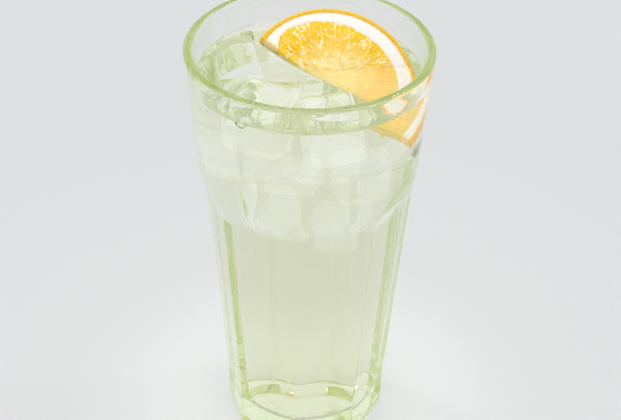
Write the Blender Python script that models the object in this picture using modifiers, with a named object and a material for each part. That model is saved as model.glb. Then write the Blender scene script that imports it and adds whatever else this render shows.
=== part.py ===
# A tall pressed glass of lemonade with ice and a half slice of orange
import math

import bmesh
import bpy
import numpy as np
from mathutils import Euler, Vector

# Driving dimensions of the glass in metres, with the origin at the middle of its underside
GLASS_HEIGHT = 0.152
RIM_RADIUS = 0.0425
FOOT_RADIUS = 0.0298
FOOT_HEIGHT = 0.0120
RIM_WALL = 0.00285
HEEL_HEIGHT = 0.0018
HEEL_INSET = 0.0014

# The flat panels below the smooth collar
PANEL_COUNT = 8
FIRST_RIDGE_ANGLE = math.radians(-7.0)
ARCH_TOP = 0.1032
ARCH_SPRING = 0.0942
PANEL_CLEARANCE = 0.00015
PANEL_CUTTER_WIDTH = 0.048
CUTTER_MARGIN = 0.004

# The round hollow inside
COLLAR_FLOOR = 0.110
COLLAR_BEND = 0.012
COLLAR_INNER_RADIUS = 0.0344
HOLLOW_FOOT_RADIUS = 0.0228
HOLLOW_FLOOR = 0.0052
HOLLOW_CORNER = 0.0080

# What fills the glass
DRINK_LEVEL = 0.1402
FIT_GAP = 0.0003

# The half slice of orange
SLICE_RADIUS = 0.0296
SLICE_THICKNESS = 0.0054
SLICE_CENTRE = Vector((0.0071, -0.0025, 0.1372))
SLICE_LEAN = math.radians(36.4)
SLICE_LEAN_TOWARDS = math.radians(8.6)
SLICE_TURN = math.radians(-42.6)
PEEL_AND_PITH = 0.0062
PEEL_ROUNDING = 0.0008
SEGMENT_COUNT = 5
FLESH_RELIEF = 0.0005

# Mesh fineness
ROUND_STEPS = 72
ARC_STEPS = 8
BEND_STEPS = 6
WALL_STEPS = 7
SLICE_STEPS = (50, 8)
SLICE_ROOM_STEPS = (40, 1)

# Each block of ice that breaks the surface: name, centre, size and turns in degrees
ICE_BLOCKS = (
    ("ice_left", (-0.0243, 0.0072, 0.1365), (0.0145, 0.0190, 0.0195), (12, -6, 10), 11),
    ("ice_back", (-0.0050, 0.0215, 0.1320), (0.0170, 0.0170, 0.0190), (5, 4, -10), 12),
    ("ice_front_left", (-0.0152, -0.0156, 0.1334), (0.0195, 0.0190, 0.0185), (-4, 3, -16), 13),
    ("ice_front_right", (0.0072, -0.0212, 0.1332), (0.0180, 0.0160, 0.0185), (5, -4, 12), 14),
)
ICE_UNEVENNESS = 0.0009
ICE_EDGE = 0.0022


def clear_scene():
    for item in list(bpy.data.objects):
        bpy.data.objects.remove(item, do_unlink=True)


def new_collection(name):
    collection = bpy.data.collections.new(name)
    bpy.context.scene.collection.children.link(collection)
    return collection


def new_material(name, colour, roughness, transmission=0.0, ior=1.45):
    material = bpy.data.materials.new(name)
    material.use_nodes = True
    shader = material.node_tree.nodes["Principled BSDF"]
    shader.inputs["Base Color"].default_value = (*colour, 1.0)
    shader.inputs["Roughness"].default_value = roughness
    shader.inputs["Metallic"].default_value = 0.0
    shader.inputs["Transmission Weight"].default_value = transmission
    shader.inputs["IOR"].default_value = ior
    return material


def new_object(name, mesh, collection, material=None):
    item = bpy.data.objects.new(name, mesh)
    collection.objects.link(item)
    if material:
        mesh.materials.append(material)
    return item


def mesh_from(work, name):
    mesh = bpy.data.meshes.new(name)
    work.to_mesh(mesh)
    work.free()
    return mesh


def hide_cutter(item):
    item.hide_render = True
    item.display_type = "WIRE"


def cut(item, cutter, solver="EXACT"):
    boolean = item.modifiers.new("cut_" + cutter.name, "BOOLEAN")
    boolean.operation = "DIFFERENCE"
    boolean.solver = solver
    boolean.object = cutter


def turned(name, profile, collection, material=None):
    """A closed turned shape from a profile at +X that runs from the top of the axis to its foot."""
    work = bmesh.new()
    points = [work.verts.new((radius, 0.0, height)) for radius, height in profile]
    for upper, lower in zip(points, points[1:]):
        work.edges.new((upper, lower))
    item = new_object(name, mesh_from(work, name), collection, material)
    screw = item.modifiers.new("turn", "SCREW")
    screw.steps = ROUND_STEPS
    screw.render_steps = ROUND_STEPS
    screw.use_merge_vertices = True
    screw.merge_threshold = 0.00001
    return item


def arc(centre, radius, start, end, steps):
    """Points of a round stretch in the profile's plane, angles in degrees from +X."""
    angles = np.radians(np.linspace(start, end, steps + 1))
    return [(centre[0] + radius * math.cos(a), centre[1] + radius * math.sin(a)) for a in angles]


def outer_radius(height):
    """A short upright foot, then an even flare up to the rim."""
    flare = (RIM_RADIUS - FOOT_RADIUS) / (GLASS_HEIGHT - FOOT_HEIGHT)
    return FOOT_RADIUS + flare * max(0.0, height - FOOT_HEIGHT)


def panel_distance(height):
    """How far the flat of a panel lies from the axis."""
    return outer_radius(height) * math.cos(math.pi / PANEL_COUNT) - PANEL_CLEARANCE


def hollow_profile(top, inset, overrun=0.0):
    """The hollow from a given height down to its floor, drawn in by an inset."""
    lip_radius = RIM_RADIUS - RIM_WALL - inset
    collar_radius = COLLAR_INNER_RADIUS - inset
    foot_radius = HOLLOW_FOOT_RADIUS - inset
    share = (top - COLLAR_FLOOR) / (GLASS_HEIGHT - COLLAR_FLOOR)
    top_radius = collar_radius + (lip_radius - collar_radius) * share
    floor = HOLLOW_FLOOR + inset
    corner = HOLLOW_CORNER - inset
    profile = [(0.0, top + overrun), (top_radius, top + overrun)]
    # The collar and the lower wall meet in one long soft bend
    above = collar_radius + (lip_radius - collar_radius) * COLLAR_BEND / (GLASS_HEIGHT - COLLAR_FLOOR)
    below = collar_radius - (collar_radius - foot_radius) * COLLAR_BEND / (COLLAR_FLOOR - floor - corner)
    for t in np.linspace(0.0, 1.0, BEND_STEPS + 1):
        radius = (1 - t) ** 2 * above + 2 * t * (1 - t) * collar_radius + t ** 2 * below
        profile.append((radius, COLLAR_FLOOR + COLLAR_BEND * (1 - 2 * t)))
    profile += arc((foot_radius - corner, floor + corner), corner, 0, -90, ARC_STEPS)
    profile.append((0.0, floor))
    return profile


def panel_cutter(index, collection):
    """A block whose inner face is the flat of a panel and bends outwards into the arched top."""
    spring = panel_distance(ARCH_SPRING)
    reach = outer_radius(ARCH_TOP) - panel_distance(ARCH_TOP)
    rise = ARCH_TOP - ARCH_SPRING
    bend_radius = (rise ** 2 + reach ** 2) / (2 * reach)
    slope = (outer_radius(ARCH_TOP) - outer_radius(ARCH_SPRING)) / rise
    face = [(panel_distance(height), height) for height in (-CUTTER_MARGIN, FOOT_HEIGHT)]
    for climb in np.linspace(0.0, rise + CUTTER_MARGIN / 2, ARC_STEPS + 1):
        bulge = bend_radius - math.sqrt(bend_radius ** 2 - climb ** 2)
        face.append((spring + slope * climb + bulge, ARCH_SPRING + climb))
    outside = RIM_RADIUS + CUTTER_MARGIN
    outline = face + [(outside, face[-1][1]), (outside, face[0][1])]
    work = bmesh.new()
    side = work.faces.new([work.verts.new((x, -PANEL_CUTTER_WIDTH / 2, z)) for x, z in outline])
    swept = bmesh.ops.extrude_face_region(work, geom=[side])
    moved = [v for v in swept["geom"] if isinstance(v, bmesh.types.BMVert)]
    bmesh.ops.translate(work, verts=moved, vec=(0.0, PANEL_CUTTER_WIDTH, 0.0))
    bmesh.ops.recalc_face_normals(work, faces=work.faces)
    name = f"panel_cutter_{index}"
    item = new_object(name, mesh_from(work, name), collection)
    middle = FIRST_RIDGE_ANGLE + (index + 0.5) * 2 * math.pi / PANEL_COUNT
    item.rotation_euler = (0.0, 0.0, middle - math.pi / 2)
    hide_cutter(item)
    return item


def build_glass(collection, cutters):
    material = new_material("clear_glass", (0.93, 0.96, 0.90), 0.02, 1.0, 1.5)
    lip = RIM_WALL / 2
    shoulder = GLASS_HEIGHT - RIM_WALL
    profile = [(0.0, shoulder), (RIM_RADIUS - RIM_WALL - PANEL_CLEARANCE, shoulder)]
    profile += arc((RIM_RADIUS - lip, GLASS_HEIGHT - lip), lip, 180, 0, ARC_STEPS)
    heights = [*np.linspace(shoulder, FOOT_HEIGHT, WALL_STEPS + 1), HEEL_HEIGHT]
    profile += [(outer_radius(height), height) for height in heights]
    profile += [(FOOT_RADIUS - HEEL_INSET / 3, HEEL_HEIGHT / 3), (FOOT_RADIUS - HEEL_INSET, 0.0), (0.0, 0.0)]
    glass = turned("glass", profile, collection, material)
    for index in range(PANEL_COUNT):
        cut(glass, panel_cutter(index, cutters))
    hollow = turned("hollow_cutter", hollow_profile(GLASS_HEIGHT, 0.0, CUTTER_MARGIN), cutters)
    hide_cutter(hollow)
    cut(glass, hollow)
    return glass


def slice_mesh(name, steps, grow):
    """Half a wheel of orange: a sheet in polar steps with low relief, given its thickness below."""
    work = bmesh.new()
    bmesh.ops.create_grid(work, x_segments=steps[0], y_segments=steps[1], size=0.5)
    radius_all = SLICE_RADIUS + grow
    for vert in work.verts:
        angle = math.pi * (vert.co.x + 0.5)
        share = vert.co.y + 0.5
        radius = radius_all * share
        height = grow if grow else flesh_height(angle, radius)
        # The straight cut edge moves out by the growth, as the peel does
        vert.co = (radius * math.cos(angle), radius * math.sin(angle) - grow, height)
    bmesh.ops.remove_doubles(work, verts=work.verts, dist=0.00001)
    bmesh.ops.recalc_face_normals(work, faces=work.faces)
    if sum(face.normal.z for face in work.faces) < 0:
        bmesh.ops.reverse_faces(work, faces=work.faces)
    return mesh_from(work, name)


def flesh_height(angle, radius):
    """Flesh swells a little between the membranes and stays under the ring of pith."""
    flesh_radius = SLICE_RADIUS - PEEL_AND_PITH
    if radius > flesh_radius:
        over = (radius - flesh_radius) / PEEL_AND_PITH
        return -PEEL_ROUNDING * max(0.0, over - 0.6) ** 2
    across = abs(math.sin(angle * SEGMENT_COUNT))
    along = math.sin(math.pi * min(1.0, radius / flesh_radius))
    return FLESH_RELIEF * (across ** 0.5 * along - 0.6)


def place_slice(item, grow):
    thick = item.modifiers.new("thickness", "SOLIDIFY")
    thick.thickness = SLICE_THICKNESS + 2 * grow
    thick.offset = -1.0
    lean = Euler((SLICE_LEAN, 0.0, SLICE_LEAN_TOWARDS)).to_matrix()
    turn = Euler((0.0, 0.0, SLICE_TURN)).to_matrix()
    item.rotation_euler = (lean @ turn).to_euler()
    item.location = SLICE_CENTRE


def build_slice(collection):
    material = new_material("orange_flesh", (0.93, 0.62, 0.06), 0.30)
    item = new_object("orange_slice", slice_mesh("orange_slice", SLICE_STEPS, 0.0), collection, material)
    place_slice(item, 0.0)
    return item


def ice_mesh(name, size, seed, grow):
    """A block with uneven corners; a grown copy serves as the cutter of the drink round it."""
    draw = np.random.default_rng(seed)
    work = bmesh.new()
    bmesh.ops.create_cube(work, size=1.0)
    for vert in work.verts:
        uneven = draw.uniform(-ICE_UNEVENNESS, ICE_UNEVENNESS, 3)
        for axis in range(3):
            side = math.copysign(1.0, vert.co[axis])
            vert.co[axis] = side * (size[axis] / 2 + grow) + uneven[axis]
    return mesh_from(work, name)


def place_ice(item, centre, turns):
    bevel = item.modifiers.new("melted_edges", "BEVEL")
    bevel.width = ICE_EDGE
    bevel.segments = 3
    # The same diagonals on a block and on its cutter keep the gap even
    item.modifiers.new("diagonals", "TRIANGULATE").quad_method = "FIXED"
    item.location = centre
    item.rotation_euler = [math.radians(turn) for turn in turns]


def build_ice(collection):
    material = new_material("clear_ice", (0.92, 0.96, 0.92), 0.05, 1.0, 1.31)
    for name, centre, size, turns, seed in ICE_BLOCKS:
        item = new_object(name, ice_mesh(name, size, seed, 0.0), collection, material)
        place_ice(item, centre, turns)


def build_drink(collection, cutters):
    material = new_material("lemonade", (0.88, 0.92, 0.55), 0.02, 1.0, 1.34)
    drink = turned("drink", hollow_profile(DRINK_LEVEL, FIT_GAP), collection, material)
    room = new_object("slice_room", slice_mesh("slice_room", SLICE_ROOM_STEPS, FIT_GAP), cutters)
    place_slice(room, FIT_GAP)
    hide_cutter(room)
    cut(drink, room, "MANIFOLD")
    for name, centre, size, turns, seed in ICE_BLOCKS:
        block = new_object(name + "_room", ice_mesh(name, size, seed, FIT_GAP), cutters)
        place_ice(block, centre, turns)
        hide_cutter(block)
        cut(drink, block, "MANIFOLD")
    return drink


def main():
    clear_scene()
    model = new_collection("glass_of_lemonade")
    cutters = new_collection("cutters")
    glass = build_glass(model, cutters)
    drink = build_drink(model, cutters)
    build_slice(model)
    build_ice(model)
    for item in (glass, drink):
        item.data.shade_smooth()


main()
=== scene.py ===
# Looks of a tall pressed glass of lemonade with ice and a half slice of orange
import math

import bmesh
import bpy
import numpy as np
from mathutils import Euler, Matrix, Vector, noise
from mathutils.bvhtree import BVHTree


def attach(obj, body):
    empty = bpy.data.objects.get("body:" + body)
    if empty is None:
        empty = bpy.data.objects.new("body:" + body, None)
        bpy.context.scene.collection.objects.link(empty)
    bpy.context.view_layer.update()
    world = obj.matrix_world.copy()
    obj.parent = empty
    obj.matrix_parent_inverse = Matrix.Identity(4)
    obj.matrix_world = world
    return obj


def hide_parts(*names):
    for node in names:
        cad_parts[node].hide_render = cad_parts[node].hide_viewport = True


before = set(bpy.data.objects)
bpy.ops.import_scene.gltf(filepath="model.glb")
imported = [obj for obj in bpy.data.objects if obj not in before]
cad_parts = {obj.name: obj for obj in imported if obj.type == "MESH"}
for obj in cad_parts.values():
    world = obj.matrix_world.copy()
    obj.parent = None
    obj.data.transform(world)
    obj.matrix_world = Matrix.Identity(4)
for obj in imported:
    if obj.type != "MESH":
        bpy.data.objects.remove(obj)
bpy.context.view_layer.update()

MM = 0.001

# The tumbler, in metres
GLASS_HEIGHT = 0.152
RIM_RADIUS = 0.0425
FOOT_RADIUS = 0.0298
FOOT_HEIGHT = 0.0120
RIM_WALL = 0.00285
HEEL_HEIGHT = 0.0018
HEEL_INSET = 0.0014
FOOT_RING = 0.0030
FOOT_HOLLOW = 0.0006
PANEL_COUNT = 8
FIRST_RIDGE = math.radians(-7.0)
ARCH_TOP = 0.1032
ARCH_SPRING = 0.0942
PANEL_DEPTH = 0.00015
RIDGE_SOFTNESS = 0.0014
GLASS_WAVINESS = 0.00006
COLLAR_FLOOR = 0.110
COLLAR_BEND = 0.012
COLLAR_INNER_RADIUS = 0.0344
HOLLOW_FOOT_RADIUS = 0.0228
HOLLOW_FLOOR = 0.0052
HOLLOW_CORNER = 0.0080
# Faces across each panel, and the heights between which the rings of faces lie close
PANEL_STEPS = 48
FINE_RINGS = (0.086, 0.104)

# The drink and how it climbs what it wets
DRINK_LEVEL = 0.1405
WALL_CLIMB = 0.0009
WALL_CLIMB_REACH = 0.0009
ICE_CLIMB = 0.0003
SLICE_CLIMB = 0.0003
WALL_OVERLAP = 0.0001
ICE_OVERLAP = 0.00003
DRINK_STEPS = 360
# The large bubble: how far from the axis and at what angle it sits, its size and its skin
BUBBLE_PLACE = (0.0357, math.radians(-125.0))
BUBBLE_RADIUS = 0.0023
BUBBLE_SKIN = 0.00014
# Small bubbles: least and most radius, least and usual depth, and the gap round each
SMALL_BUBBLES = 70
SMALL_BUBBLE_RADII = (0.00015, 0.00050)
SMALL_BUBBLE_DEPTHS = (0.0003, 0.0016)
SMALL_BUBBLE_GAP = 0.0004

# The half slice of orange
SLICE_RADIUS = 0.0296
SLICE_THICKNESS = 0.0054
SLICE_CENTRE = Vector((0.0071, -0.0025, 0.1372))
SLICE_LEAN = math.radians(36.4)
SLICE_LEAN_TOWARDS = math.radians(8.6)
SLICE_TURN = math.radians(-42.6)
SEGMENT_COUNT = 5
CORE_ASIDE = (-0.0008, 0.0040)
# The peel, which is thicker towards one tip: metres for each radian past an angle
PEEL_THICKNESS = 0.0015
PEEL_SWELLING = 0.0010
PEEL_SWELLS_FROM = 2.75
# The flesh, which widens past an angle and draws in again at the tip
FLESH_RADIUS = 0.0230
FLESH_WIDENING = 0.0020
FLESH_WIDENS_FROM = math.radians(95)
FLESH_TIP_SHORTENING = 0.0045
FLESH_TIP_FROM = math.radians(160)
FLESH_TIP_SPAN = math.radians(20)
FLESH_LOWERED = 0.0005
# Juice sacs: half length, half width and half depth, how far apart, and their small dents
SAC_SIZE = (0.0024, 0.00095, 0.00070)
SAC_SPACING = 0.00165
SAC_UNEVENNESS = 0.00035

# Ice that breaks the surface: name, centre, size, turns in degrees and seed
SURFACE_ICE = (
    ("ice_left", (-0.0243, 0.0072, 0.1365), (0.0145, 0.0190, 0.0195), (12, -6, 10), 11),
    ("ice_back", (-0.0050, 0.0215, 0.1320), (0.0170, 0.0170, 0.0190), (5, 4, -10), 12),
    ("ice_front_left", (-0.0152, -0.0156, 0.1334), (0.0195, 0.0190, 0.0185), (-4, 3, -16), 13),
    ("ice_front_right", (0.0072, -0.0212, 0.1332), (0.0180, 0.0160, 0.0185), (5, -4, 12), 14),
)
# Ice that is wholly sunk
SUNK_ICE = (
    ("sunk_ice_low_left", (-0.0075, -0.0190, 0.1175), (0.0215, 0.0170, 0.0125), (3, -2, -10), 21),
    ("sunk_ice_low_right", (0.0150, -0.0140, 0.1150), (0.0160, 0.0190, 0.0170), (4, 3, 18), 22),
    ("sunk_ice_right", (0.0245, 0.0030, 0.1140), (0.0140, 0.0160, 0.0160), (8, 6, 4), 23),
    ("sunk_ice_left", (-0.0240, -0.0040, 0.1155), (0.0130, 0.0150, 0.0160), (5, -6, -8), 24),
    ("sunk_ice_middle", (0.0035, 0.0020, 0.1150), (0.0170, 0.0150, 0.0170), (-6, 9, 24), 25),
    ("sunk_ice_back_left", (-0.0145, 0.0170, 0.1100), (0.0180, 0.0160, 0.0180), (6, -7, -30), 26),
    ("sunk_ice_back", (0.0070, 0.0215, 0.1110), (0.0170, 0.0150, 0.0180), (-5, 6, -8), 27),
    ("deep_ice_front_left", (-0.0100, -0.0155, 0.0993), (0.0170, 0.0160, 0.0190), (2, -3, 6), 28),
    ("deep_ice_front_right", (0.0095, -0.0155, 0.0940), (0.0160, 0.0160, 0.0190), (-2, 3, -7), 29),
    ("deep_ice_left", (-0.0195, 0.0040, 0.0960), (0.0150, 0.0160, 0.0180), (4, 2, -5), 30),
    ("deep_ice_right", (0.0192, 0.0045, 0.0950), (0.0150, 0.0160, 0.0180), (-4, -3, 8), 31),
    ("deep_ice_back", (0.0000, 0.0195, 0.0900), (0.0170, 0.0150, 0.0170), (5, 0, 4), 32),
)
# How far corners stray, how round edges are, the mesh's grain and how far faces melt away
ICE_UNEVENNESS = 0.0009
ICE_EDGE = 0.0022
ICE_VOXEL = 0.0007
MELT_DEPTH = 0.00035
MELT_SLOW_WAVES = 0.00030
MELT_FINE_WAVES = 0.00006

# How clear bodies bend light and lose red, green and blue light in a metre
GLASS_INDEX = 1.50
DRINK_INDEX = 1.34
ICE_INDEX = 1.320
GLASS_LOSS = (2.0, 0.6, 6.6)
DRINK_LOSS = (0.25, 0.05, 3.9)
DRINK_CLOUD = 5.0
# Strength of the painted glow that brightens ice at the surface and sunk ice
PAINTED_ICE_GLOW = 0.026
PAINTED_SUNK_ICE_GLOW = 0.020
# An index of 1 leaves the bending to the other body's surface
NO_BENDING = 1.0
# Waves on clear surfaces: how close they lie and how high they are, in metres
GLASS_WAVES = (60.0, 0.00002)
DRINK_WAVES = (90.0, 0.00003)
ICE_WAVES = (220.0, 0.00012)
WET_ICE_WAVES = (120.0, 0.00003)
CALM_WAVES = (60.0, 0.00001)

# The even light of the room, and small weak lamps: name, place, size in metres, power in watts
ROOM_COLOUR = (0.94, 0.95, 0.955, 1.0)
ROOM_STRENGTH = 0.95
LAMPS = (
    ("key_lamp", (-0.35, 0.45, 1.30), 0.10, 0.8),
    ("side_lamp", (0.60, 0.30, 1.0), 0.07, 0.35),
)
LAMP_AIM = Vector((0.0, 0.0, 0.13))

# The camera, as a pinhole fitted to the rim, the sides and the foot
PICTURE_WIDTH = 621
FOCAL_PIXELS = 1850
CAMERA_DISTANCE = 0.6576
CAMERA_PITCH = math.radians(34.65)
CAMERA_ROLL = math.radians(0.95)
CAMERA_TARGET = Vector((0.00117, 0.0, 0.08481))


class Wire:
    """A node's output, so that maths on it reads as an expression."""

    def __init__(self, graph, socket):
        self.graph = graph
        self.socket = socket

    def __add__(self, other):
        return self.graph.maths("ADD", self, other)

    def __radd__(self, other):
        return self.graph.maths("ADD", other, self)

    def __sub__(self, other):
        return self.graph.maths("SUBTRACT", self, other)

    def __rsub__(self, other):
        return self.graph.maths("SUBTRACT", other, self)

    def __mul__(self, other):
        return self.graph.maths("MULTIPLY", self, other)

    def __rmul__(self, other):
        return self.graph.maths("MULTIPLY", other, self)

    def __truediv__(self, other):
        return self.graph.maths("DIVIDE", self, other)

    def __rtruediv__(self, other):
        return self.graph.maths("DIVIDE", other, self)

    def root(self):
        return self.graph.maths("SQRT", self)


class Graph:
    """A node tree that nodes are added to by type, settings and sockets."""

    def __init__(self, tree):
        self.tree = tree

    def plug(self, socket, value):
        if isinstance(value, Wire):
            self.tree.links.new(value.socket, socket)
        else:
            socket.default_value = value

    def add(self, kind, settings=None, sockets=None, output=0):
        """One node, by its type; gives the Wire of one of its outputs."""
        node = self.tree.nodes.new(kind)
        for name, value in (settings or {}).items():
            setattr(node, name, value)
        for key, value in (sockets or {}).items():
            self.plug(node.inputs[key], value)
        return Wire(self, node.outputs[output])

    def maths(self, operation, *values):
        return self.add("ShaderNodeMath", {"operation": operation}, dict(enumerate(values)))

    def vector_maths(self, operation, first, second):
        return self.add("ShaderNodeVectorMath", {"operation": operation}, {0: first, 1: second})

    def scaled(self, vector, share):
        return self.add("ShaderNodeVectorMath", {"operation": "SCALE"}, {0: vector, "Scale": share})

    def split(self, vector):
        """The three numbers of a vector."""
        parts = self.add("ShaderNodeSeparateXYZ", None, {0: vector})
        return [Wire(self, socket) for socket in parts.socket.node.outputs]

    def object_place(self):
        """Object coordinates, which are the fourth output."""
        return self.add("ShaderNodeTexCoord", output=3)

    def smoothly(self, value, low, high):
        """From 0 where a value is low to 1 where it is high; low may be the greater number."""
        settings = {"interpolation_type": "SMOOTHSTEP"}
        return self.add("ShaderNodeMapRange", settings, {0: value, 1: low, 2: high, 3: 0.0, 4: 1.0})

    def mix(self, factor, first, second):
        """Two colours, which are sockets 6 and 7 and output 2 of a Mix node."""
        sockets = {0: factor, 6: first, 7: second}
        return self.add("ShaderNodeMix", {"data_type": "RGBA"}, sockets, 2)

    def noise(self, place, scale, detail):
        """Soft noise round 0.5."""
        sockets = {"Vector": place, "Scale": scale, "Detail": detail}
        return self.add("ShaderNodeTexNoise", None, sockets)


def rgb(red, green, blue):
    """A colour read from 0 to 255, as linear light."""
    def linear(value):
        value /= 255
        return value / 12.92 if value <= 0.04045 else ((value + 0.055) / 1.055) ** 2.4
    return (linear(red), linear(green), linear(blue), 1.0)


BLACK = (0.0, 0.0, 0.0, 1.0)
WHITE = (1.0, 1.0, 1.0, 1.0)
FLESH_DEEP = rgb(255, 209, 4)
FLESH_CORE = rgb(255, 238, 160)
FLESH_GRAIN = rgb(255, 226, 80)
FLESH_PALE = rgb(255, 238, 170)
# Painted highlight colours: a white for the flesh colour and a bright emission for the lines of glints
PAINTED_HIGHLIGHT_WHITE = rgb(255, 253, 244)
PAINTED_HIGHLIGHT_GLOW = (2.6, 2.5, 2.3, 1.0)
PITH_WHITE = rgb(254, 253, 250)
PITH_CREAM = rgb(252, 248, 234)
PITH_STAIN = rgb(255, 226, 110)
PITH_CUT_SIDE = rgb(253, 214, 110)
PEEL_LIGHT = rgb(255, 208, 6)
PEEL_DEEP = rgb(255, 194, 1)
PEEL_GLAND = rgb(250, 172, 0)
PEEL_SPOT = rgb(255, 236, 140)
# Colour of the ice's painted glow
PAINTED_ICE_GLOW_COLOUR = (0.94, 1.0, 1.0, 1.0)
FLOOR_GREY = rgb(226, 227, 228)
FLOOR_PALE = rgb(228, 229, 230)


def new_material(name, **constants):
    """A Principled material; constants are set on the shader's own sockets."""
    material = bpy.data.materials.new(name)
    material.use_nodes = True
    shader = material.node_tree.nodes["Principled BSDF"]
    for key, value in constants.items():
        shader.inputs[key.replace("_", " ")].default_value = value
    return material, Graph(material.node_tree), shader


def roughen(graph, shader, height, strength, distance):
    """Small relief: a height from 0 to 1, how strongly it shows and how deep it is in metres."""
    sockets = {"Height": height, "Strength": strength, "Distance": distance}
    graph.plug(shader.inputs["Normal"], graph.add("ShaderNodeBump", None, sockets))


def absorbs(graph, per_metre, cloud=0.0):
    """Tints light by how far it runs inside: what each colour loses in a metre, and how cloudy."""
    strength = max(per_metre)
    sockets = {"Color": (*[1 - loss / strength for loss in per_metre], 1.0), "Density": strength}
    volume = graph.add("ShaderNodeVolumeAbsorption", None, sockets)
    if cloud:
        haze = graph.add("ShaderNodeVolumeScatter", None, {"Color": WHITE, "Density": cloud})
        volume = graph.add("ShaderNodeAddShader", None, {0: volume, 1: haze})
    graph.plug(graph.tree.nodes["Material Output"].inputs["Volume"], volume)


def clear_material(name, loss, cloud, *surfaces):
    """A clear body. Each surface has an index set against what lies outside it, the size and
    height of its waves, and, after the first, the attribute that marks its faces."""
    material = bpy.data.materials.new(name)
    material.use_nodes = True
    tree = material.node_tree
    tree.nodes.remove(tree.nodes["Principled BSDF"])
    graph = Graph(tree)
    place = graph.object_place()
    shader = None
    for index, wave_scale, wave_height, *marks in surfaces:
        waves = {"Height": graph.noise(place, wave_scale, 2.0), "Distance": wave_height}
        sockets = {
            "Base Color": WHITE, "Roughness": 0.0, "Transmission Weight": 1.0,
            "IOR": index, "Normal": graph.add("ShaderNodeBump", None, waves),
        }
        layer = graph.add("ShaderNodeBsdfPrincipled", None, sockets)
        if shader is None:
            shader = layer
        else:
            mask = graph.add("ShaderNodeAttribute", {"attribute_name": marks[0]}, None, 2)
            shader = graph.add("ShaderNodeMixShader", None, {0: mask, 1: shader, 2: layer})
    graph.plug(tree.nodes["Material Output"].inputs["Surface"], shader)
    if loss:
        absorbs(graph, loss, cloud)
    return material


def glass_finish():
    """Pale green pressed glass, with a lower index on the faces that the drink wets."""
    dry = (GLASS_INDEX, *GLASS_WAVES)
    wet = (GLASS_INDEX / DRINK_INDEX, *GLASS_WAVES, "against_drink")
    return clear_material("clear_pressed_glass", GLASS_LOSS, 0.0, dry, wet)


def drink_finish():
    """Slightly cloudy lemonade; its side leaves the bending to the glass that it lies against."""
    surface = (DRINK_INDEX, *DRINK_WAVES)
    against_glass = (NO_BENDING, *CALM_WAVES, "against_glass")
    against_ice = (DRINK_INDEX / ICE_INDEX, *WET_ICE_WAVES, "against_ice")
    return clear_material("pale_lemonade", DRINK_LOSS, DRINK_CLOUD, surface, against_glass, against_ice)


def ice_finish(name, painted_glow_strength):
    """Clear ice with a painted glow: a faint white emission stands in for the light that fine air in ice
    sends back.
    """
    dry, sunk = (ICE_INDEX, *ICE_WAVES), (NO_BENDING, *CALM_WAVES, "sunk")
    material = clear_material(name, None, 0.0, dry, sunk)
    for node in material.node_tree.nodes:
        if node.type == "BSDF_PRINCIPLED":
            node.inputs["Emission Color"].default_value = PAINTED_ICE_GLOW_COLOUR
            node.inputs["Emission Strength"].default_value = painted_glow_strength
    return material


def mark_faces(mesh, name, marked):
    """Stores which faces a surface of the material covers."""
    layer = mesh.attributes.get(name) or mesh.attributes.new(name, "FLOAT", "FACE")
    layer.data.foreach_set("value", [float(marked(face)) for face in mesh.polygons])


def slice_frame():
    """The slice's own frame: X along its straight edge, Y up its middle, Z out of its upper face."""
    lean = Euler((SLICE_LEAN, 0.0, SLICE_LEAN_TOWARDS)).to_matrix()
    turn = Euler((0.0, 0.0, SLICE_TURN)).to_matrix()
    return Matrix.LocRotScale(SLICE_CENTRE, lean @ turn, None)


def slice_place(graph):
    """The slice's own coordinates inside a material, from Object coordinates."""
    back = slice_frame().inverted()
    sockets = {"Vector": graph.object_place(), "Location": back.translation, "Rotation": back.to_euler()}
    return graph.add("ShaderNodeMapping", {"vector_type": "POINT"}, sockets)


def slice_polar(graph, place):
    """Radius and angle of a place on the slice, with the angle in turns of one segment."""
    along, up, _ = graph.split(place)
    along, up = along - CORE_ASIDE[0], up - CORE_ASIDE[1]
    radius = (along * along + up * up).root()
    angle = graph.maths("ARCTAN2", up, along) * (SEGMENT_COUNT / math.pi) + 0.5
    return radius, angle


def under_drink(graph, start, end):
    """From 0 at one height over the level to 1 at another."""
    _, _, height = graph.split(graph.object_place())
    return graph.smoothly(height - DRINK_LEVEL, start, end)


def painted_glow(graph, shader, colour, strength):
    """Painted glow: emission that brightens the fruit, with more of it where the fruit lies in the drink and
    gets less light.
    """
    factor = 0.35 + under_drink(graph, 0.0004, -0.0006) * 0.65
    graph.plug(shader.inputs["Emission Color"], graph.mix(factor, BLACK, colour))
    shader.inputs["Emission Strength"].default_value = strength


def painted_highlight_lines(graph, place, radius, angle):
    """Painted highlights: thin crooked white lines that stand in for glints where wet sacs meet, on the upper
    face and above the drink.
    """
    stretched = graph.add("ShaderNodeCombineXYZ", None, {0: radius * 330.0, 1: angle * 7.0})
    crooked = graph.maths("ABSOLUTE", graph.noise(stretched, 1.0, 2.0) - 0.5)
    line = graph.smoothly(crooked, 0.026, 0.008)
    broken = graph.smoothly(graph.noise(place, 330.0, 2.0), 0.45, 0.52)
    _, _, depth = graph.split(place)
    upper_face = graph.smoothly(depth, -0.0016, -0.0010)
    return line * broken * upper_face * (1.0 - under_drink(graph, 0.0010, -0.0010))


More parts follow.
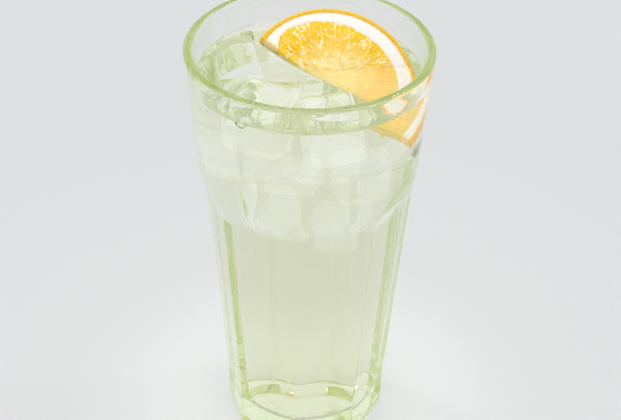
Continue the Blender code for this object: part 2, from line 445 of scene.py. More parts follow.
def flesh_finish():
    """Wet orange flesh, deep at the rim of the slice and pale towards its middle."""
    wet = {"Coat_Weight": 0.7, "Coat_Roughness": 0.05, "Coat_IOR": 1.4, "Roughness": 0.3}
    soft = {"Subsurface_Weight": 0.25, "Subsurface_Radius": (0.0018, 0.0011, 0.0003), "Subsurface_Scale": 1.0}
    material, graph, shader = new_material("wet_orange_flesh", Specular_IOR_Level=0.25, **wet, **soft)
    place = slice_place(graph)
    radius, angle = slice_polar(graph, place)
    cloud = graph.noise(place, 260.0, 3.0)
    pale = graph.smoothly(radius + (cloud - 0.5) * 0.014, 0.0175, 0.003)
    colour = graph.mix(pale, FLESH_DEEP, FLESH_CORE)
    grain = graph.smoothly(graph.noise(place, 1400.0, 2.0), 0.45, 0.75)
    colour = graph.mix(grain * 0.3, colour, FLESH_GRAIN)
    seam = graph.smoothly(graph.maths("PINGPONG", angle, 0.5), 0.035, 0.0)
    colour = graph.mix(seam * 0.7, colour, FLESH_PALE)
    # Painted haze: the flesh is mixed towards pale where it lies in the drink
    painted_haze = under_drink(graph, 0.0050, -0.0050)
    colour = graph.mix(painted_haze * 0.45, colour, FLESH_PALE)
    # Painted highlights: white lines in the colour stand in for glints on the wet sacs
    line = painted_highlight_lines(graph, place, radius, angle)
    colour = graph.mix(line * 0.9, colour, PAINTED_HIGHLIGHT_WHITE)
    graph.plug(shader.inputs["Base Color"], colour)
    # Painted glow, which also carries the painted highlight lines as bright emission
    painted_glow(graph, shader, graph.mix(line, colour, PAINTED_HIGHLIGHT_GLOW), 0.30)
    roughen(graph, shader, graph.noise(place, 900.0, 2.0), 0.5, 0.0002)
    return material


def pith_finish():
    """Matt white pith, a little fibrous, yellow next to the peel and beige on its cut side."""
    soft = {"Subsurface_Weight": 0.3, "Subsurface_Radius": (0.002, 0.002, 0.0016), "Subsurface_Scale": 1.0}
    material, graph, shader = new_material("white_pith", Roughness=0.55, **soft)
    place = slice_place(graph)
    fibres = graph.noise(place, 700.0, 4.0)
    colour = graph.mix(graph.smoothly(fibres, 0.35, 0.75), PITH_WHITE, PITH_CREAM)
    along, up, _ = graph.split(place)
    radius = (along * along + up * up).root()
    stain = graph.smoothly(radius + (graph.noise(place, 1300.0, 1.0) - 0.5) * 0.004, 0.0274, 0.0284)
    colour = graph.mix(stain * 0.7, colour, PITH_STAIN)
    cut_side = graph.smoothly(up + (fibres - 0.5) * 0.002, 0.0016, 0.0002)
    colour = graph.mix(cut_side * 0.8, colour, PITH_CUT_SIDE)
    graph.plug(shader.inputs["Base Color"], colour)
    # Painted glow that brightens the pith
    painted_glow(graph, shader, colour, 0.40)
    roughen(graph, shader, fibres, 0.5, 0.0003)
    return material


def peel_finish():
    """Waxy yellow-orange peel with oil glands."""
    wax = {"Coat_Weight": 0.4, "Coat_Roughness": 0.15, "Roughness": 0.38, "Specular_IOR_Level": 0.3}
    soft = {"Subsurface_Weight": 0.2, "Subsurface_Radius": (0.002, 0.0012, 0.0004), "Subsurface_Scale": 1.0}
    material, graph, shader = new_material("orange_peel", **wax, **soft)
    place = slice_place(graph)
    glands = graph.add("ShaderNodeTexVoronoi", {"feature": "F1"}, {"Vector": place, "Scale": 900.0})
    cloud = graph.noise(place, 300.0, 3.0)
    colour = graph.mix(cloud, PEEL_LIGHT, PEEL_DEEP)
    colour = graph.mix(graph.smoothly(glands, 0.35, 0.1) * 0.5, colour, PEEL_GLAND)
    spots = graph.smoothly(graph.noise(place, 1100.0, 1.0), 0.58, 0.68)
    colour = graph.mix(spots * 0.6, colour, PEEL_SPOT)
    graph.plug(shader.inputs["Base Color"], colour)
    # Painted glow that brightens the peel
    painted_glow(graph, shader, colour, 0.32)
    roughen(graph, shader, graph.smoothly(glands, 0.0, 0.5), 0.7, 0.0003)
    return material


def new_object(name, data):
    """An object in the scene at the origin, unturned."""
    item = bpy.data.objects.new(name, data)
    bpy.context.scene.collection.objects.link(item)
    return item


def mesh_of(item):
    """The evaluated shape of an object as a plain mesh; the object itself is removed."""
    graph = bpy.context.evaluated_depsgraph_get()
    graph.update()
    mesh = bpy.data.meshes.new_from_object(item.evaluated_get(graph))
    bpy.data.objects.remove(item, do_unlink=True)
    return mesh


def written(work, mesh):
    """Writes worked shapes into a mesh and frees them."""
    work.to_mesh(mesh)
    work.free()
    return mesh


def finish_piece(item, slot, *nodes):
    """Smooth, carried by the body and, for a body's main piece, in the solid's place; the slot is not used.
    """
    item.data.shade_smooth()
    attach(item, "root")
    if nodes:
        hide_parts(*nodes)
    return item


def arc(centre, radius, start, end, steps):
    """Points of a round stretch in a profile's plane, angles in degrees from +X."""
    angles = np.radians(np.linspace(start, end, steps + 1))
    return [(centre[0] + radius * math.cos(a), centre[1] + radius * math.sin(a)) for a in angles]


def evenly(start, end, steps):
    """Points from start to end, without the last one."""
    shares = np.linspace(0.0, 1.0, steps, endpoint=False)
    return [(start[0] + (end[0] - start[0]) * t, start[1] + (end[1] - start[1]) * t) for t in shares]


def turned(name, profile, steps, material, start_angle=0.0):
    """A closed turned mesh from a profile of (radius, height) that starts and ends on the axis."""
    rings = profile[1:-1]
    angles = start_angle + np.arange(steps) * 2 * math.pi / steps
    verts = [(0.0, 0.0, profile[0][1])]
    for radius, height in rings:
        verts += [(radius * math.cos(a), radius * math.sin(a), height) for a in angles]
    verts.append((0.0, 0.0, profile[-1][1]))
    last = len(verts) - 1
    faces = []
    for j in range(steps):
        k = (j + 1) % steps
        faces.append((0, 1 + k, 1 + j))
        for ring in range(len(rings) - 1):
            a, b = 1 + ring * steps, 1 + (ring + 1) * steps
            faces.append((a + j, a + k, b + k, b + j))
        a = 1 + (len(rings) - 1) * steps
        faces.append((last, a + j, a + k))
    mesh = bpy.data.meshes.new(name)
    mesh.from_pydata(verts, [], faces)
    mesh.materials.append(material)
    return mesh


FLARE = (RIM_RADIUS - FOOT_RADIUS) / (GLASS_HEIGHT - FOOT_HEIGHT)


def outer_radius(height):
    """A short upright foot, then an even flare up to the rim."""
    return FOOT_RADIUS + FLARE * max(0.0, height - FOOT_HEIGHT)


def hollow_wall(top, steps):
    """The inner wall from a given height down to the middle of the floor."""
    lip = RIM_RADIUS - RIM_WALL
    share = (top - COLLAR_FLOOR) / (GLASS_HEIGHT - COLLAR_FLOOR)
    top_radius = COLLAR_INNER_RADIUS + (lip - COLLAR_INNER_RADIUS) * share
    collar_slope = (lip - COLLAR_INNER_RADIUS) / (GLASS_HEIGHT - COLLAR_FLOOR)
    corner_top = HOLLOW_FLOOR + HOLLOW_CORNER
    wall_slope = (COLLAR_INNER_RADIUS - HOLLOW_FOOT_RADIUS) / (COLLAR_FLOOR - corner_top)
    above = COLLAR_INNER_RADIUS + collar_slope * COLLAR_BEND
    below = COLLAR_INNER_RADIUS - wall_slope * COLLAR_BEND
    profile = evenly((top_radius, top), (above, COLLAR_FLOOR + COLLAR_BEND), steps)
    for t in np.linspace(0.0, 1.0, steps + 1):
        radius = (1 - t) ** 2 * above + 2 * t * (1 - t) * COLLAR_INNER_RADIUS + t ** 2 * below
        profile.append((radius, COLLAR_FLOOR + COLLAR_BEND * (1 - 2 * t)))
    foot = (HOLLOW_FOOT_RADIUS, corner_top)
    profile += evenly(profile[-1], foot, steps * 2)[1:]
    middle = (HOLLOW_FOOT_RADIUS - HOLLOW_CORNER, corner_top)
    profile += arc(middle, HOLLOW_CORNER, 0, -90, steps)
    profile += evenly(profile[-1], (0.0, HOLLOW_FLOOR), 6)[1:]
    return profile + [(0.0, HOLLOW_FLOOR)]


HOLLOW_OUTLINE = np.array(hollow_wall(GLASS_HEIGHT, 8)[::-1])


def inner_radius(height):
    """The hollow's radius at a height above its rounded corner."""
    return float(np.interp(height, HOLLOW_OUTLINE[:, 1], HOLLOW_OUTLINE[:, 0]))


def group_with_inputs(name, inputs):
    """A geometry tree with named number inputs, its Graph and a Wire for each input."""
    tree = bpy.data.node_groups.new(name, "GeometryNodeTree")
    tree.interface.new_socket("Geometry", in_out="INPUT", socket_type="NodeSocketGeometry")
    tree.interface.new_socket("Geometry", in_out="OUTPUT", socket_type="NodeSocketGeometry")
    for label in inputs:
        tree.interface.new_socket(label, in_out="INPUT", socket_type="NodeSocketFloat")
    graph = Graph(tree)
    entry = tree.nodes.new("NodeGroupInput")
    wires = {socket.name: Wire(graph, socket) for socket in entry.outputs if socket.name}
    return tree, graph, wires


def close_group(graph, geometry, material):
    """Every tree ends in real geometry with its material."""
    real = graph.add("GeometryNodeRealizeInstances", None, {0: geometry})
    done = graph.add("GeometryNodeSetMaterial", None, {"Geometry": real, "Material": material})
    out = graph.tree.nodes.new("NodeGroupOutput")
    graph.plug(out.inputs[0], done)


def run_group(item, tree, values):
    """Runs a tree on an object with its inputs set by identifier, and gives the plain mesh."""
    modifier = item.modifiers.new("shape", "NODES")
    modifier.node_group = tree
    for socket in tree.interface.items_tree:
        if socket.in_out == "INPUT" and socket.name in values:
            modifier[socket.identifier] = values[socket.name]
    return mesh_of(item)


def panel_group(material):
    """Presses flat panels with arched tops into the outside of a turned tumbler."""
    inputs = (
        "Panels", "First ridge", "Foot radius", "Foot height", "Flare", "Arch spring", "Arch bend",
        "Panel depth", "Edge softness", "Waviness",
    )
    tree, graph, wires = group_with_inputs("press_panels", inputs)
    place = graph.add("GeometryNodeInputPosition")
    x, y, z = graph.split(place)
    radius = (x * x + y * y).root()
    pitch = 2 * math.pi / wires["Panels"]
    from_ridge = graph.maths("ARCTAN2", y, x) + math.pi / 2 - wires["First ridge"]
    off_middle = graph.maths("WRAP", from_ridge - pitch / 2, pitch / 2, pitch / -2)
    above_foot = graph.maths("MAXIMUM", z - wires["Foot height"], 0.0)
    flat = (wires["Foot radius"] + above_foot * wires["Flare"]) * graph.maths("COSINE", pitch / 2)
    bend = wires["Arch bend"]
    climb = graph.maths("MINIMUM", graph.maths("MAXIMUM", z - wires["Arch spring"], 0.0), bend)
    bulge = bend - (bend * bend - climb * climb).root()
    panel = (flat - wires["Panel depth"] + bulge) / graph.maths("COSINE", off_middle)
    soft = wires["Edge softness"]
    gap = radius - panel
    pressed = (radius + panel - (gap * gap + soft * soft).root()) * 0.5
    pressed = graph.maths("MINIMUM", pressed, radius)
    wobble = (graph.noise(place, 55.0, 1.0) - 0.5) * wires["Waviness"]
    mask = graph.add("GeometryNodeInputNamedAttribute", {"data_type": "FLOAT"}, {"Name": "outside"})
    share = (radius + mask * (pressed - radius) + wobble) / graph.maths("MAXIMUM", radius, MM)
    # What lies on the axis stays there
    share = share * graph.maths("LESS_THAN", MM, radius) + graph.maths("LESS_THAN", radius, MM)
    moved = graph.add("ShaderNodeCombineXYZ", None, {0: x * share, 1: y * share, 2: z})
    sockets = {"Geometry": wires["Geometry"], "Position": moved}
    close_group(graph, graph.add("GeometryNodeSetPosition", None, sockets), material)
    return tree


def build_tumbler():
    """The pressed glass: a turned blank with its panels pressed in."""
    finish = glass_finish()
    lip = RIM_WALL / 2
    heel = [(FOOT_RADIUS - HEEL_INSET * t, HEEL_HEIGHT * (1 - t) ** 2) for t in np.linspace(1, 0, 5)]
    stand = (FOOT_RADIUS - HEEL_INSET - FOOT_RING, 0.0)
    under_foot = (stand[0] - FOOT_HOLLOW * 3, FOOT_HOLLOW)
    profile = [(0.0, FOOT_HOLLOW)] + evenly((0.002, FOOT_HOLLOW), under_foot, 8)
    profile += evenly(under_foot, stand, 4) + [stand] + heel[:-1]
    low, high = FINE_RINGS
    for start, end, rings in ((HEEL_HEIGHT, low, 34), (low, high, 60), (high, GLASS_HEIGHT - lip, 14)):
        heights = np.linspace(start, end, rings, endpoint=False)
        profile += [(outer_radius(height), height) for height in heights]
    outside_count = len(profile)
    profile += arc((RIM_RADIUS - lip, GLASS_HEIGHT - lip), lip, 0, 180, 16)
    wet_line = DRINK_LEVEL + WALL_CLIMB
    inner = hollow_wall(GLASS_HEIGHT - lip, 10)
    profile += [point for point in inner[1:] if point[1] > wet_line + MM / 4]
    profile += hollow_wall(wet_line, 10)
    steps = PANEL_COUNT * PANEL_STEPS
    mesh = turned("tumbler_blank", profile, steps, finish, FIRST_RIDGE - math.pi / 2)
    mask = mesh.attributes.new("outside", "FLOAT", "POINT")
    ring_of = [0] + [1 + n // steps for n in range(len(mesh.vertices) - 2)] + [len(profile) - 1]
    mask.data.foreach_set("value", [float(ring < outside_count) for ring in ring_of])
    reach = outer_radius(ARCH_TOP) * (1 - math.cos(math.pi / PANEL_COUNT))
    rise = ARCH_TOP - ARCH_SPRING
    values = {
        "Panels": float(PANEL_COUNT),
        "First ridge": FIRST_RIDGE,
        "Foot radius": FOOT_RADIUS,
        "Foot height": FOOT_HEIGHT,
        "Flare": FLARE,
        "Arch spring": ARCH_SPRING,
        "Arch bend": (rise ** 2 + reach ** 2) / (2 * reach),
        "Panel depth": PANEL_DEPTH,
        "Edge softness": RIDGE_SOFTNESS,
        "Waviness": GLASS_WAVINESS,
    }
    mesh = run_group(new_object("tumbler_blank", mesh), panel_group(finish), values)
    outwards(mesh)

    def wetted(face):
        x, y, z = face.center
        wall = inner_radius(max(z, HOLLOW_FLOOR + HOLLOW_CORNER))
        return HOLLOW_FLOOR - MM / 2 < z < wet_line and math.hypot(x, y) < wall + MM / 5

    mark_faces(mesh, "against_drink", wetted)
    return finish_piece(new_object("tumbler", mesh), "clear_glass", "glass")


def outwards(mesh):
    """Turns every face of a closed mesh to look out."""
    work = bmesh.new()
    work.from_mesh(mesh)
    bmesh.ops.recalc_face_normals(work, faces=work.faces)
    if work.calc_volume(signed=True) < 0:
        bmesh.ops.reverse_faces(work, faces=work.faces)
    written(work, mesh)


def ice_block(name, centre, size, turns, seed, finish):
    """Clear ice with melted edges and faintly hollowed, wavy faces."""
    draw = np.random.default_rng(seed)
    work = bmesh.new()
    bmesh.ops.create_cube(work, size=1.0)
    for vert in work.verts:
        uneven = draw.uniform(-ICE_UNEVENNESS, ICE_UNEVENNESS, 3)
        for axis in range(3):
            side = math.copysign(1.0, vert.co[axis])
            vert.co[axis] = side * size[axis] / 2 + uneven[axis]
    block = new_object(name + "_blank", written(work, bpy.data.meshes.new(name)))
    bevel = block.modifiers.new("melted_edges", "BEVEL")
    bevel.width = ICE_EDGE
    bevel.segments = 4
    remesh = block.modifiers.new("even_mesh", "REMESH")
    remesh.mode = "VOXEL"
    remesh.voxel_size = ICE_VOXEL
    smooth = block.modifiers.new("melt", "SMOOTH")
    smooth.factor = 0.6
    smooth.iterations = 10
    mesh = mesh_of(block)
    mesh.name = name
    melt_wavy(mesh, seed)
    euler = Euler([math.radians(turn) for turn in turns])
    mesh.transform(Matrix.LocRotScale(Vector(centre), euler.to_matrix(), None))
    mesh.materials.clear()
    mesh.materials.append(finish)
    return mesh


def melt_wavy(mesh, seed):
    """Moves the surface inwards by a soft random pattern, so that a block never grows."""
    shift = Vector((seed * 7.3, seed * 3.1, seed * 5.7))
    normals = [vert.normal.copy() for vert in mesh.vertices]
    for vert, normal in zip(mesh.vertices, normals):
        slow = noise.noise(vert.co * 110.0 + shift)
        fine = noise.noise(vert.co * 320.0 + shift)
        vert.co -= normal * (MELT_DEPTH + MELT_SLOW_WAVES * slow + MELT_FINE_WAVES * fine)


def split_at_level(mesh):
    """Cuts the faces of a block along the waterline and marks those below it."""
    level = DRINK_LEVEL + ICE_CLIMB
    work = bmesh.new()
    work.from_mesh(mesh)
    everything = [*work.verts, *work.edges, *work.faces]
    bmesh.ops.bisect_plane(work, geom=everything, dist=1e-7, plane_co=(0, 0, level), plane_no=(0, 0, 1))
    written(work, mesh)
    mark_faces(mesh, "sunk", lambda face: face.center.z < level)


def add_ice(row, finish, piece, *nodes):
    """One block with the waterline cut into its faces; gives back a copy without the cut."""
    mesh = ice_block(*row, finish)
    whole = mesh.copy()
    split_at_level(mesh)
    finish_piece(new_object(piece, mesh), "ice", *nodes)
    return whole


def build_ice():
    """All the ice; gives back the whole blocks, which the drink leaves room for."""
    # Ice at the surface has a stronger painted glow than sunk ice
    at_surface = ice_finish("clear_ice", PAINTED_ICE_GLOW)
    below = ice_finish("sunk_clear_ice", PAINTED_SUNK_ICE_GLOW)
    wholes = [add_ice(row, at_surface, row[0] + "_block", row[0]) for row in SURFACE_ICE]
    return wholes + [add_ice(row, below, row[0]) for row in SUNK_ICE]


def joined(name, meshes, inset):
    """Several closed meshes as one, drawn in along their normals."""
    work = bmesh.new()
    for mesh in meshes:
        for vert, normal in zip(mesh.vertices, [v.normal.copy() for v in mesh.vertices]):
            vert.co -= normal * inset
        work.from_mesh(mesh)
    mesh = written(work, bpy.data.meshes.new(name))
    mark_faces(mesh, "against_ice", lambda face: True)
    return mesh


def ball(name, centre, radius, fineness):
    """A closed ball of air for the drink."""
    work = bmesh.new()
    place = Matrix.Translation(centre)
    bmesh.ops.create_icosphere(work, subdivisions=fineness, radius=radius, matrix=place)
    mesh = written(work, bpy.data.meshes.new(name))
    mark_faces(mesh, "against_ice", lambda face: False)
    return mesh


def clear_of(trees, centre, gap):
    """Whether a place lies outside every shape and more than a gap away."""
    for tree in trees:
        nearest, normal, _, distance = tree.find_nearest(centre)
        if distance <= gap or (centre - nearest).dot(normal) < 0:
            return False
    return True


def air_rooms(trees):
    """The large bubble under its dome at the wall, and tiny ones that cling below the surface."""
    reach, angle = BUBBLE_PLACE
    middle = Vector((reach * math.cos(angle), reach * math.sin(angle), DRINK_LEVEL + MM / 10))
    rooms = [ball("bubble_room", middle, BUBBLE_RADIUS - BUBBLE_SKIN, 4)]
    least_depth, depth_spread = SMALL_BUBBLE_DEPTHS
    draw = np.random.default_rng(31)
    while len(rooms) <= SMALL_BUBBLES:
        radius = draw.uniform(*SMALL_BUBBLE_RADII)
        depth = radius + least_depth + draw.exponential(depth_spread)
        angle = draw.uniform(0.0, 2 * math.pi)
        most = inner_radius(DRINK_LEVEL - depth) - radius - SMALL_BUBBLE_GAP
        reach = most * draw.uniform(0.0, 1.0) ** 0.25
        centre = Vector((reach * math.cos(angle), reach * math.sin(angle), DRINK_LEVEL - depth))
        apart = (centre - middle).length > BUBBLE_RADIUS + MM
        if apart and clear_of(trees, centre, radius + SMALL_BUBBLE_GAP):
            rooms.append(ball("bubble_room", centre, radius, 2))
    return rooms


def surface_tree(mesh):
    """A search tree for the nearest place on a mesh."""
    faces = [tuple(face.vertices) for face in mesh.polygons]
    return BVHTree.FromPolygons([vert.co for vert in mesh.vertices], faces)


def drink_profile(edge, wall_radius):
    """From the middle of the surface out to the wall, then down beside it to the middle of the floor."""
    # The rings lie closer near the wall, where the edge climbs
    near_wall = wall_radius - 3 * MM
    inside, beside = np.linspace(0.0006, near_wall, 58), np.linspace(near_wall, wall_radius, 12)
    profile = [(radius, DRINK_LEVEL) for radius in (0.0, *inside, *beside[1:-1])]
    for radius, height in hollow_wall(edge, 10)[:-1]:
        on_floor = height < HOLLOW_FLOOR + MM / 2
        profile.append((radius + WALL_OVERLAP, height - WALL_OVERLAP * on_floor))
    return profile + [(0.0, HOLLOW_FLOOR - WALL_OVERLAP)]


def climb_edges(mesh, wall_radius, ice_tree, slice_tree):
    """Raises the surface a little at the wall, the ice and the slice, and over the large bubble."""
    reach, angle = BUBBLE_PLACE
    bubble = Vector((math.cos(angle), math.sin(angle))) * reach
    for vert in mesh.vertices:
        if vert.co.z < DRINK_LEVEL - MM / 20:
            continue
        off_wall = max(0.0, wall_radius - math.hypot(vert.co.x, vert.co.y))
        climb = WALL_CLIMB * math.exp(-off_wall / WALL_CLIMB_REACH)
        for tree, most in ((ice_tree, ICE_CLIMB), (slice_tree, SLICE_CLIMB)):
            climb = max(climb, most * math.exp(-tree.find_nearest(vert.co)[3] / WALL_CLIMB_REACH))
        aside = (Vector((vert.co.x, vert.co.y)) - bubble).length
        climb = max(climb, math.sqrt(max(0.0, BUBBLE_RADIUS ** 2 - aside ** 2)))
        vert.co.z = DRINK_LEVEL + climb


def build_drink(ice_meshes, slice_meshes):
    """The drink up to its level, hollow where the ice and the bubbles lie."""
    edge = DRINK_LEVEL + WALL_CLIMB
    wall_radius = inner_radius(edge)
    mesh = turned("lemonade", drink_profile(edge, wall_radius), DRINK_STEPS, drink_finish())
    mark_faces(mesh, "against_glass", lambda face: face.center.z < DRINK_LEVEL - MM / 20)
    mark_faces(mesh, "against_ice", lambda face: False)
    rooms_mesh = joined("ice_room", ice_meshes, ICE_OVERLAP)
    trees = surface_tree(rooms_mesh), surface_tree(joined("slice_shape", slice_meshes, 0.0))
    climb_edges(mesh, wall_radius, *trees)
    outwards(mesh)
    body = new_object("lemonade_blank", mesh)
    work = bmesh.new()
    for room in [rooms_mesh, *air_rooms(trees)]:
        work.from_mesh(room)
    cutter = new_object("ice_room", written(work, rooms_mesh))
    boolean = body.modifiers.new("room_for_ice", "BOOLEAN")
    boolean.solver = "MANIFOLD"
    boolean.object = cutter
    mesh = mesh_of(body)
    bpy.data.objects.remove(cutter, do_unlink=True)
    return finish_piece(new_object("lemonade", mesh), "lemonade", "drink")


def ripple(angle, waves, row):
    """A smooth random wave round the slice, between -1 and 1; each row is another wave."""
    return noise.noise(Vector((angle * waves, row, 0.0)))


def flesh_edge(angle):
    """Where the flesh ends and the pith starts."""
    uneven = 0.00025 * ripple(angle, 6.0, 0.3)
    widened = FLESH_WIDENING * max(0.0, angle - FLESH_WIDENS_FROM)
    past_tip = max(0.0, angle - FLESH_TIP_FROM) / FLESH_TIP_SPAN
    return FLESH_RADIUS + widened - FLESH_TIP_SHORTENING * past_tip ** 2 + uneven


def swept_half_ring(name, section_at, steps, material):
    """A closed body swept round half a turn; section_at gives its outline at an angle."""
    frame_matrix = slice_frame()
    angles = np.linspace(0.0, math.pi, steps + 1)
    verts = []
    for angle in angles:
        for radius, height in section_at(angle):
            verts.append(frame_matrix @ Vector((radius * math.cos(angle), radius * math.sin(angle), height)))
    count = len(section_at(0.0))
    faces = [tuple(range(count)), tuple(range(steps * count, (steps + 1) * count))]
    for step in range(steps):
        for n in range(count):
            m = (n + 1) % count
            a, b = step * count, (step + 1) * count
            faces.append((a + n, a + m, b + m, b + n))
    mesh = bpy.data.meshes.new(name)
    mesh.from_pydata(verts, [], faces)
    mesh.materials.append(material)
    outwards(mesh)
    return mesh


def peel_section(angle):
    """The outer skin with its rounded edges and dimples."""
    outer = SLICE_RADIUS - 0.0001 + min(0.0, 0.00010 * ripple(angle, 40.0, 1.7))
    swollen = PEEL_SWELLING * max(0.0, angle - PEEL_SWELLS_FROM)
    inner = SLICE_RADIUS - PEEL_THICKNESS - swollen + 0.00025 * ripple(angle, 25.0, 5.1)
    low = -SLICE_THICKNESS
    return [
        (inner, -0.0001), (outer - 0.0006, -0.0001), (outer - 0.0002, -0.0003), (outer, -0.0009),
        (outer, low / 2), (outer, low + 0.0009), (outer - 0.0002, low + 0.0003),
        (outer - 0.0006, low + 0.0001), (inner, low + 0.0001),
    ]


def pith_section(angle):
    """The white ring, faintly swollen on both cut faces."""
    outer = SLICE_RADIUS - 0.0014
    inner = flesh_edge(angle)
    low = -SLICE_THICKNESS
    top = [(inner + (outer - inner) * t, -0.0001 - 0.0005 * (2 * t - 1) ** 2) for t in np.linspace(0, 1, 7)]
    return top + [(radius, low - height) for radius, height in top[::-1]]


def flesh_section(angle):
    """The flesh below the juice sacs, from the middle to the pith."""
    inner = 0.0003
    outer = flesh_edge(angle) + 0.0004
    low = -SLICE_THICKNESS
    shares = np.linspace(0, 1, 30)
    top = [(inner + (outer - inner) * t, -FLESH_LOWERED) for t in shares]
    return top + [(radius, low - height) for radius, height in top[::-1]]


def sac_group(material, sac):
    """Scatters juice sacs on flesh, each pointing out from the core of the fruit."""
    inputs = ("Spacing", "Thickness", "Unevenness")
    tree, graph, wires = group_with_inputs("juice_sacs", inputs)
    normal = graph.add("GeometryNodeInputNormal")
    cover = graph.add("GeometryNodeInputNamedAttribute", {"data_type": "FLOAT"}, {"Name": "sac_cover"})
    sockets = {"Mesh": wires["Geometry"], "Selection": graph.maths("GREATER_THAN", cover, 0.5)}
    sockets |= {"Distance Min": wires["Spacing"], "Density Max": 3e6, "Seed": 5}
    points = graph.add("GeometryNodeDistributePointsOnFaces", {"distribute_method": "POISSON"}, sockets)
    place = graph.add("GeometryNodeInputPosition")
    core = slice_frame() @ Vector((*CORE_ASIDE, 0.0))
    out = graph.vector_maths("SUBTRACT", place, core)
    jitter = graph.add("FunctionNodeRandomValue", {"data_type": "FLOAT_VECTOR"}, {"Seed": 9})
    bent = graph.scaled(graph.vector_maths("SUBTRACT", jitter, (0.5, 0.5, 0.5)), 0.011)
    aim = graph.vector_maths("ADD", out, bent)
    turn = graph.add("FunctionNodeAlignRotationToVector", {"axis": "X"}, {"Vector": aim})
    sockets = {"Rotation": turn, "Vector": normal}
    turn = graph.add("FunctionNodeAlignRotationToVector", {"axis": "Z", "pivot_axis": "X"}, sockets)
    long = graph.add("FunctionNodeRandomValue", {"data_type": "FLOAT"}, {2: 0.7, 3: 1.5, "Seed": 3}, 1)
    wide = graph.add("FunctionNodeRandomValue", {"data_type": "FLOAT"}, {2: 0.7, 3: 1.25, "Seed": 4}, 1)
    size = graph.add("ShaderNodeCombineXYZ", None, {0: long, 1: wide, 2: wide * wires["Thickness"]})
    one = graph.add("GeometryNodeObjectInfo", None, {"Object": sac}, 4)
    sockets = {"Points": points, "Instance": one, "Rotation": turn, "Scale": size}
    sacs = graph.add("GeometryNodeInstanceOnPoints", None, sockets)
    real = graph.add("GeometryNodeRealizeInstances", None, {0: sacs})
    place = graph.add("GeometryNodeInputPosition")
    push = (graph.noise(place, 900.0, 1.0) - 0.5) * wires["Unevenness"]
    offset = graph.scaled(graph.add("GeometryNodeInputNormal"), push)
    real = graph.add("GeometryNodeSetPosition", None, {"Geometry": real, "Offset": offset})
    close_group(graph, real, material)
    return tree


def sac_shape():
    """One juice sac: a soft drop, blunt outside and thin towards the middle of the fruit."""
    work = bmesh.new()
    bmesh.ops.create_icosphere(work, subdivisions=2, radius=1.0)
    length, width, depth = SAC_SIZE
    for vert in work.verts:
        taper = 0.72 + 0.28 * vert.co.x
        vert.co = (vert.co.x * length, vert.co.y * width * taper, vert.co.z * depth * taper - depth / 2)
    return new_object("sac_shape", written(work, bpy.data.meshes.new("sac")))


def mark_sac_cover(mesh):
    """Marks the flesh that carries sacs: off the slice's straight cut side and clear of the pith."""
    back = slice_frame().inverted()
    shares = []
    for vert in mesh.vertices:
        local = back @ vert.co
        edge = flesh_edge(math.atan2(local.y, local.x))
        shares.append(float(local.y > 0.0016 and math.hypot(local.x, local.y) < edge - 0.0020))
    cover = mesh.attributes.new("sac_cover", "FLOAT", "POINT")
    cover.data.foreach_set("value", shares)


def build_slice():
    """Peel, pith and flesh as swept bodies, and juice sacs over the flesh; gives back the three meshes."""
    flesh, pith, peel = flesh_finish(), pith_finish(), peel_finish()
    meshes = []
    for piece, name, section_at, steps, material in (
        ("orange_peel_skin", "peel", peel_section, 220, peel),
        ("orange_pith", "pith", pith_section, 160, pith),
        ("orange_flesh", "core", flesh_section, 200, flesh),
    ):
        meshes.append(swept_half_ring(name, section_at, steps, material))
        finish_piece(new_object(piece, meshes[-1]), "orange", "orange_slice")
    bed = meshes[-1].copy()
    mark_sac_cover(bed)
    sac = sac_shape()
    values = {"Spacing": SAC_SPACING, "Thickness": 1.0, "Unevenness": SAC_UNEVENNESS}
    sacs = run_group(new_object("flesh_bed", bed), sac_group(flesh, sac), values)
    bpy.data.objects.remove(sac, do_unlink=True)
    finish_piece(new_object("orange_juice_sacs", sacs), "orange", "orange_slice")
    return meshes


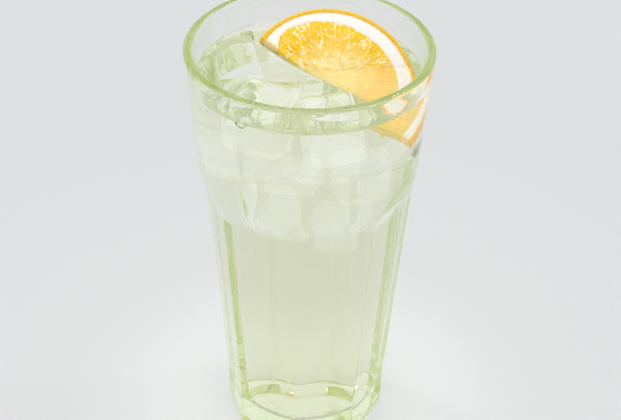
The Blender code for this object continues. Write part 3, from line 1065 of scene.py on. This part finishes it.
def build_stage():
    """A pale floor with a painted pool of light round the glass: an emission makes it a little brighter
    there.
    """
    bpy.ops.mesh.primitive_plane_add(size=6.0, location=(0.0, 0.0, -MM / 20))
    floor = bpy.context.object
    floor.name = "floor"
    material, graph, shader = new_material("pale_floor", Roughness=0.9, Specular_IOR_Level=0.1)
    place = graph.object_place()
    across, along, _ = graph.split(place)
    reach = (across * across + along * along).root()
    graph.plug(shader.inputs["Base Color"], graph.mix(graph.noise(place, 3.0, 1.0), FLOOR_GREY, FLOOR_PALE))
    # Painted pool of light: emission that grows stronger towards the foot of the glass
    painted_light_pool = graph.smoothly(reach, 0.230, 0.030) * 0.085 + graph.smoothly(reach, 0.100, 0.030) * 0.12
    painted_light_pool = painted_light_pool + graph.smoothly(reach, 0.030, 0.020) * 0.06
    graph.plug(shader.inputs["Emission Color"], painted_light_pool)
    shader.inputs["Emission Strength"].default_value = 1.0
    floor.data.materials.append(material)


def light_room():
    """A bright even room and small weak lamps."""
    world = bpy.data.worlds.new("room")
    bpy.context.scene.world = world
    world.use_nodes = True
    room = world.node_tree.nodes["Background"]
    room.inputs["Color"].default_value = ROOM_COLOUR
    room.inputs["Strength"].default_value = ROOM_STRENGTH
    for name, place, size, power in LAMPS:
        data = bpy.data.lights.new(name, "AREA")
        data.size = size
        data.energy = power
        lamp = new_object(name, data)
        lamp.location = place
        lamp.rotation_euler = (LAMP_AIM - Vector(place)).to_track_quat("-Z", "Y").to_euler()


def build_camera():
    """The fitted pinhole, turned a little about its own line of sight."""
    forward = Vector((0.0, math.cos(CAMERA_PITCH), -math.sin(CAMERA_PITCH)))
    level_up = Vector((0.0, math.sin(CAMERA_PITCH), math.cos(CAMERA_PITCH)))
    level_right = Vector((1.0, 0.0, 0.0))
    right = level_right * math.cos(CAMERA_ROLL) + level_up * math.sin(CAMERA_ROLL)
    up = level_up * math.cos(CAMERA_ROLL) - level_right * math.sin(CAMERA_ROLL)
    data = bpy.data.cameras.new("camera")
    data.sensor_width = 36.0
    data.lens = FOCAL_PIXELS / PICTURE_WIDTH * data.sensor_width
    camera = new_object("camera", data)
    turn = Matrix((right, up, -forward)).transposed()
    camera.matrix_world = Matrix.LocRotScale(CAMERA_TARGET - forward * CAMERA_DISTANCE, turn, None)
    bpy.context.scene.camera = camera


def set_light_paths():
    """Enough bounces to see through glass, drink and ice together."""
    cycles = bpy.context.scene.cycles
    cycles.max_bounces = 48
    cycles.transmission_bounces = 48
    cycles.glossy_bounces = 24
    cycles.diffuse_bounces = 8
    cycles.volume_bounces = 20
    cycles.transparent_max_bounces = 16
    cycles.blur_glossy = 0.4
    cycles.sample_clamp_indirect = 6.0
    bpy.context.scene.view_settings.view_transform = "Standard"


build_camera()
build_stage()
light_room()
build_tumbler()
build_drink(build_ice(), build_slice())
set_light_paths()
